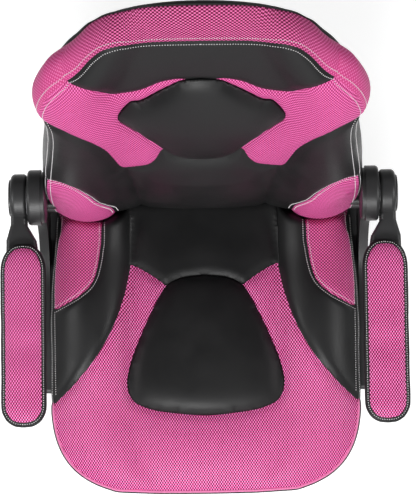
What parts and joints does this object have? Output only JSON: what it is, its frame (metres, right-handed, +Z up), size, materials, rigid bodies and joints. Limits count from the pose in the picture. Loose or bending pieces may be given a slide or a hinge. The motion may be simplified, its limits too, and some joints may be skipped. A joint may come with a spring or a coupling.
{
  "type": "gaming chair",
  "caption": "High-backed swivel gaming chair with bolstered mesh and leather-look upholstery, flip-up padded arms, a gas lift and a castered star base.",
  "frame": {"origin": "on the floor, on the swivel axis", "axes": "+Z up, -Y towards the front of the seat, +X towards the sitter's left"},
  "size_m": [0.6708, 0.721, 1.1565],
  "materials": {
    "pink_mesh": "hot-pink woven mesh",
    "black_leather": "fine-grained black synthetic leather",
    "black_cloth": "thin black non-woven cloth",
    "black_plastic": "fine-textured black nylon",
    "grey_plastic": "smooth grey acetal",
    "wheel_nylon": "smooth black nylon",
    "black_paint": "black powder coat",
    "steel": "zinc-plated steel",
    "plywood": "plain plywood"
  },
  "bodies": {
    "base": {"base_star": "black_plastic", "lift_outer_tube": "black_paint", "lift_guide_bush": "grey_plastic", "lift_thrust_bearing": "steel", "cover_lower": "black_plastic"},
    "lift_rod": {"lift_piston_rod": "steel"},
    "column": {"lift_inner_column": "steel", "mechanism_housing": "black_paint", "tilt_pin": "steel", "cover_upper": "black_plastic"},
    "cover_slider": {"cover_middle": "black_plastic"},
    "release": {"lift_release_pin": "steel"},
    "lever_slider": {"lever_bush": "black_plastic"},
    "lever": {"lever_rod": "steel", "lever_handle": "black_plastic"},
    "seat": {"seat_plate": "black_paint", "tension_bolt": "steel", "tilt_spring": "steel", "seat_board": "plywood", "seat_dust_cover": "black_cloth", "seat_tee_nuts": "steel", "seat_bolts": "steel", "seat_side_bolts": "steel", "seat_cushion": "pink_mesh", "seat_centre_pad": "black_leather", "back_board": "plywood", "back_side_plates": "steel", "back_cushion": "pink_mesh", "back_pad": "black_leather", "back_rear_cover": "black_leather", "back_side_bolts": "steel", "back_side_spacers": "black_plastic", "side_bracket_left": "black_plastic", "side_bracket_right": "black_plastic", "arm_pivot_bolts": "steel", "arm_pivot_washers": "grey_plastic"},
    "tension": {"tension_knob": "black_plastic"},
    "arm_left": {"arm_frame_left": "black_plastic", "arm_cap_left": "black_plastic", "arm_pad_left": "black_leather"},
    "arm_right": {"arm_frame_right": "black_plastic", "arm_cap_right": "black_plastic", "arm_pad_right": "black_leather"},
    "caster_1": {"caster_hood_1": "black_plastic", "caster_stem_1": "steel"},
    "wheels_1": {"caster_wheels_1": "wheel_nylon"},
    "caster_2": {"caster_hood_2": "black_plastic", "caster_stem_2": "steel"},
    "wheels_2": {"caster_wheels_2": "wheel_nylon"},
    "caster_3": {"caster_hood_3": "black_plastic", "caster_stem_3": "steel"},
    "wheels_3": {"caster_wheels_3": "wheel_nylon"},
    "caster_4": {"caster_hood_4": "black_plastic", "caster_stem_4": "steel"},
    "wheels_4": {"caster_wheels_4": "wheel_nylon"},
    "caster_5": {"caster_hood_5": "black_plastic", "caster_stem_5": "steel"},
    "wheels_5": {"caster_wheels_5": "wheel_nylon"}
  },
  "joints": [
    {"name": "swivel", "type": "hinge", "parent": "base", "child": "lift_rod", "pos_m": [0, 0, 0.2], "axis": [0, 0, 1], "continuous": true},
    {"name": "height", "type": "slide", "parent": "lift_rod", "child": "column", "axis": [0, 0, 1], "range_m": [0, 0.1]},
    {"name": "cover_slide", "type": "slide", "parent": "base", "child": "cover_slider", "axis": [0, 0, 1], "range_m": [0, 0.05]},
    {"name": "release_press", "type": "slide", "parent": "column", "child": "release", "axis": [0, 0, -1], "range_m": [0, 0.0034]},
    {"name": "tilt_lock", "type": "slide", "parent": "column", "child": "lever_slider", "axis": [-1, 0, 0], "range_m": [0, 0.006]},
    {"name": "height_lever", "type": "hinge", "parent": "lever_slider", "child": "lever", "pos_m": [-0.048, 0, 0.347], "axis": [0, 1, 0], "range_deg": [0, 4], "stiffness_Nm_per_rad": 6, "springref_deg": -6.88},
    {"name": "tilt", "type": "hinge", "parent": "column", "child": "seat", "pos_m": [0, -0.04, 0.34], "axis": [-1, 0, 0], "range_deg": [0, 14], "stiffness_Nm_per_rad": 150, "springref_deg": -20.05, "deforming": ["tilt_spring"]},
    {"name": "tension_turn", "type": "hinge", "parent": "seat", "child": "tension", "pos_m": [0, -0.095, 0.25], "axis": [0, 0, 1], "continuous": true},
    {"name": "arm_left_flip", "type": "hinge", "parent": "seat", "child": "arm_left", "pos_m": [0.3, 0.16, 0.612], "axis": [-1, 0, 0], "range_deg": [0, 95]},
    {"name": "arm_right_flip", "type": "hinge", "parent": "seat", "child": "arm_right", "pos_m": [-0.3, 0.16, 0.612], "axis": [-1, 0, 0], "range_deg": [0, 95]},
    {"name": "caster_1_swivel", "type": "hinge", "parent": "base", "child": "caster_1", "pos_m": [0, 0.29, 0.06], "axis": [0, 0, 1], "continuous": true},
    {"name": "caster_1_roll", "type": "hinge", "parent": "caster_1", "child": "wheels_1", "pos_m": [-0.01732, 0.3, 0.025], "axis": [-0.5, -0.866, 0], "continuous": true},
    {"name": "caster_2_swivel", "type": "hinge", "parent": "base", "child": "caster_2", "pos_m": [-0.27581, 0.08962, 0.06], "axis": [0, 0, 1], "continuous": true},
    {"name": "caster_2_roll", "type": "hinge", "parent": "caster_2", "child": "wheels_2", "pos_m": [-0.29067, 0.07623, 0.025], "axis": [0.6691, -0.7431, 0], "continuous": true},
    {"name": "caster_3_swivel", "type": "hinge", "parent": "base", "child": "caster_3", "pos_m": [-0.17046, -0.23461, 0.06], "axis": [0, 0, 1], "continuous": true},
    {"name": "caster_3_roll", "type": "hinge", "parent": "caster_3", "child": "wheels_3", "pos_m": [-0.16232, -0.25289, 0.025], "axis": [0.9135, 0.4067, 0], "continuous": true},
    {"name": "caster_4_swivel", "type": "hinge", "parent": "base", "child": "caster_4", "pos_m": [0.17046, -0.23461, 0.06], "axis": [0, 0, 1], "continuous": true},
    {"name": "caster_4_roll", "type": "hinge", "parent": "caster_4", "child": "wheels_4", "pos_m": [0.19035, -0.23252, 0.025], "axis": [-0.1045, 0.9945, 0], "continuous": true},
    {"name": "caster_5_swivel", "type": "hinge", "parent": "base", "child": "caster_5", "pos_m": [0.27581, 0.08962, 0.06], "axis": [0, 0, 1], "continuous": true},
    {"name": "caster_5_roll", "type": "hinge", "parent": "caster_5", "child": "wheels_5", "pos_m": [0.27997, 0.10918, 0.025], "axis": [-0.9781, 0.2079, 0], "continuous": true}
  ],
  "couplings": [
    {"joint": "cover_slide", "follows": "height", "ratio": 0.5},
    {"joint": "release_press", "follows": "height_lever", "m_per_rad": 0.048}
  ]
}
